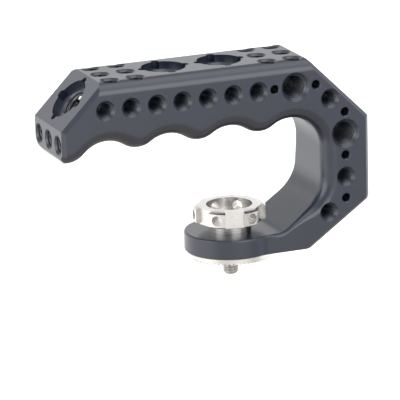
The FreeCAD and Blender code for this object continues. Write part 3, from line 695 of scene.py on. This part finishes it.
def stud_rows():
    """The stud's rings of points, each a radius and a height, from the tip to the key socket's floor."""

    def ring(radius, z):
        return [(radius, z)] * STUD_COLUMNS

    low, high = CLIP_GROOVE
    rows = [ring(0.0, STUD_TIP), ring(STUD_END, STUD_TIP)] + stud_thread()
    rows += [ring(STUD_RADIUS, low), ring(CLIP_GROOVE_RADIUS, low)]
    rows += [ring(CLIP_GROOVE_RADIUS, high), ring(STUD_RADIUS, high)]
    rows += [ring(STUD_RADIUS, STUD_TOP - STUD_CHAMFER), ring(STUD_RADIUS - STUD_CHAMFER, STUD_TOP)]
    sixth = TURN / 6
    bends = [(TURN * k / STUD_COLUMNS) % sixth - sixth / 2 for k in range(STUD_COLUMNS)]
    socket = [KEY_HALF / math.cos(bend) for bend in bends]
    rows.append([(reach, STUD_TOP) for reach in socket])
    rows.append([(reach, STUD_TOP - KEY_DEPTH) for reach in socket])
    rows.append(ring(0.0, STUD_TOP - KEY_POINT))
    return rows


def threaded_stud():
    """The stud's mesh, a closed skin over its rings of points."""
    work = bmesh.new()
    grid = []
    for row in stud_rows():
        line = []
        for k, (radius, z) in enumerate(row):
            angle = TURN * k / STUD_COLUMNS
            line.append(work.verts.new(Vector((radius * math.cos(angle), radius * math.sin(angle), z)) * MM))
        grid.append(line)
    for low, high in zip(grid, grid[1:]):
        for k in range(STUD_COLUMNS):
            j = (k + 1) % STUD_COLUMNS
            work.faces.new((low[k], low[j], high[j], high[k]))
    bmesh.ops.remove_doubles(work, verts=work.verts, dist=1e-7)
    bmesh.ops.recalc_face_normals(work, faces=work.faces)
    mesh = bpy.data.meshes.new("threaded_stud")
    work.to_mesh(mesh)
    work.free()
    mesh.shade_smooth()
    mesh.set_sharp_from_angle(angle=math.radians(STUD_EDGE))
    return mesh


class HANDLE_OT_stage(bpy.types.Operator):
    """Build the studio: floor, light from all round, soft lamp, cards and the camera"""
    bl_idname = "handle.stage"
    bl_label = "Stage"

    def execute(self, context):
        looks = context.scene.handle_looks
        add_floor(looks)
        add_world(context.scene, looks.light_level)
        add_lamp()
        add_cards(looks)
        add_camera(context.scene)
        context.scene.view_settings.view_transform = "Standard"
        return {"FINISHED"}


def flat_sheet(name, height, corners, material):
    """Lay a flat sheet."""
    mesh = bpy.data.meshes.new(name)
    mesh.from_pydata([(x, y, height) for x, y in corners], [], [tuple(range(len(corners)))])
    link_mesh(name, mesh, material)


def add_floor(looks):
    half = FLOOR_HALF
    corners = ((-half, -half), (half, -half), (half, half), (-half, half))
    pale = plain_floor("studio floor", looks.floor_colour, looks.floor_glow)
    flat_sheet("studio_floor", -looks.floor_drop, corners, pale)


def add_world(scene, level):
    """Light from all round: a white sweep behind, a dim room above and in front, and softboxes.

    The camera sees pure white.
    """
    world = bpy.data.worlds.new("studio")
    world.use_nodes = True
    scene.world = world
    graph = Graph(world.node_tree)
    world.node_tree.nodes.clear()
    along, across, up = graph.axes(graph.add("ShaderNodeTexCoord", {}, {}, "Generated"))

    def step(value, low, high, first=0.0, last=1.0):
        inputs = {"Value": value, "From Min": low, "From Max": high, "To Min": first, "To Max": last}
        return graph.add("ShaderNodeMapRange", {"interpolation_type": "SMOOTHSTEP"}, inputs)

    def towards(azimuth, elevation):
        turn, rise = math.radians(azimuth), math.radians(elevation)
        x, y = math.cos(turn) * math.cos(rise), math.sin(turn) * math.cos(rise)
        return x * along + y * across + math.sin(rise) * up

    def patch(way, edge, core, strength):
        """A round patch of light, from the cosines of its outer and inner half-angles."""
        return strength * step(towards(*way), edge, core)

    sweep = SWEEP_LIGHT * step(up, 0.27, 0.46, 1.0, 0.0) * step(towards(*SWEEP_WAY), -0.35, 0.25, 0.15, 1.0)
    back = sweep * (1.0 - patch(DIP_WAY, 0.95, 0.995, 0.55)) + patch(SLOPE_BOX_WAY, 0.94, 0.985, 0.32)
    front = patch(LEFT_BOX_WAY, 0.90, 0.95, 2.1) + patch(RIGHT_BOX_WAY, 0.88, 0.94, 2.2)
    strength = level * (ROOM_LIGHT + back + OVERHEAD_LIGHT * step(up, 0.35, 1.0) + front)
    lit = graph.add("ShaderNodeBackground", {}, {"Color": (1, 1, 1, 1), "Strength": strength})
    shown = graph.add("ShaderNodeBackground", {}, {"Color": (1, 1, 1, 1), "Strength": 1.0})
    seen = graph.add("ShaderNodeLightPath", {}, {}, "Is Camera Ray")
    mixed = graph.add("ShaderNodeMixShader", {}, {0: seen, 1: lit, 2: shown})
    out = world.node_tree.nodes.new("ShaderNodeOutputWorld")
    world.node_tree.links.new(mixed.socket, out.inputs["Surface"])


def add_lamp():
    """One large softbox overhead."""
    data = bpy.data.lights.new("top softbox", "AREA")
    data.shape = "RECTANGLE"
    data.size, data.size_y = LAMP_SIZE
    data.energy = LAMP_POWER
    lamp = bpy.data.objects.new("top softbox", data)
    lamp.location = LAMP_PLACE
    aim = Vector(LAMP_AIM) - Vector(LAMP_PLACE)
    lamp.rotation_mode = "QUATERNION"
    lamp.rotation_quaternion = aim.to_track_quat("-Z", "Y")
    bpy.context.scene.collection.objects.link(lamp)


def add_card(looks, name, rise, corners, colour, glow=0.0):
    """A card over the floor, which the handle's lower and upright faces mirror."""
    material = plain_floor(name, looks.floor_colour, looks.floor_glow, colour, glow)
    flat_sheet(name, rise - looks.floor_drop, corners, material)


def add_cards(looks):
    square = ((0.45, 0.45), (-0.45, 0.45), (-0.45, -0.55), (0.45, -0.55))
    front = ((0.48, -0.4), (-2.2, -0.4), (-2.2, -3.0), (0.48, -3.0))
    right = ((1.8, -0.4), (0.48, -0.4), (0.48, -3.0), (1.8, -3.0))
    add_card(looks, "under_card", NEAR_CARD_RISE, square, (0.60, 0.52, 0.41))
    add_card(looks, "front_card", FAR_CARD_RISE, front, (0.80, 0.79, 0.78), 0.25)
    add_card(looks, "right_card", FAR_CARD_RISE, right, (0.52, 0.52, 0.53), 0.05)


def add_camera(scene):
    """The camera, placed as in the photograph: 400 pixels square, a long lens from the left and above."""
    data = bpy.data.cameras.new("camera")
    data.lens = LENS
    data.sensor_width = SENSOR
    data.clip_start = 0.1
    data.clip_end = 20.0
    camera = bpy.data.objects.new("camera", data)
    camera.location = CAMERA_PLACE
    aim = Vector(CAMERA_AIM) - Vector(CAMERA_PLACE)
    level = aim.to_track_quat("-Z", "Y").to_matrix()
    roll = Matrix.Rotation(math.radians(CAMERA_ROLL), 3, "Z")
    camera.rotation_mode = "QUATERNION"
    camera.rotation_quaternion = (level @ roll).to_quaternion()
    scene.collection.objects.link(camera)
    scene.camera = camera


class HANDLE_PT_pieces(bpy.types.Panel):
    """The sidebar's list of the handle's pieces"""
    bl_label = "Top Handle"
    bl_space_type = "VIEW_3D"
    bl_region_type = "UI"
    bl_category = "Handle"

    def draw(self, context):
        looks = context.scene.handle_looks
        for name in looks.__annotations__:
            self.layout.prop(looks, name)
        for operator in OPERATORS:
            self.layout.operator(operator.bl_idname)


OPERATORS = (
    HANDLE_OT_frame,
    HANDLE_OT_threads,
    HANDLE_OT_rosette,
    HANDLE_OT_thumb_screw,
    HANDLE_OT_stud,
    HANDLE_OT_stage,
)
CLASSES = (HandleLooks,) + OPERATORS + (HANDLE_PT_pieces,)


def register():
    for kind in CLASSES:
        bpy.utils.register_class(kind)
    bpy.types.Scene.handle_looks = PointerProperty(type=HandleLooks)


def unregister():
    del bpy.types.Scene.handle_looks
    for kind in reversed(CLASSES):
        bpy.utils.unregister_class(kind)


def main():
    register()
    bpy.ops.handle.frame()
    bpy.ops.handle.threads()
    bpy.ops.handle.rosette()
    bpy.ops.handle.thumb_screw()
    bpy.ops.handle.stud()
    bpy.ops.handle.stage()


if __name__ == "__main__":
    main()
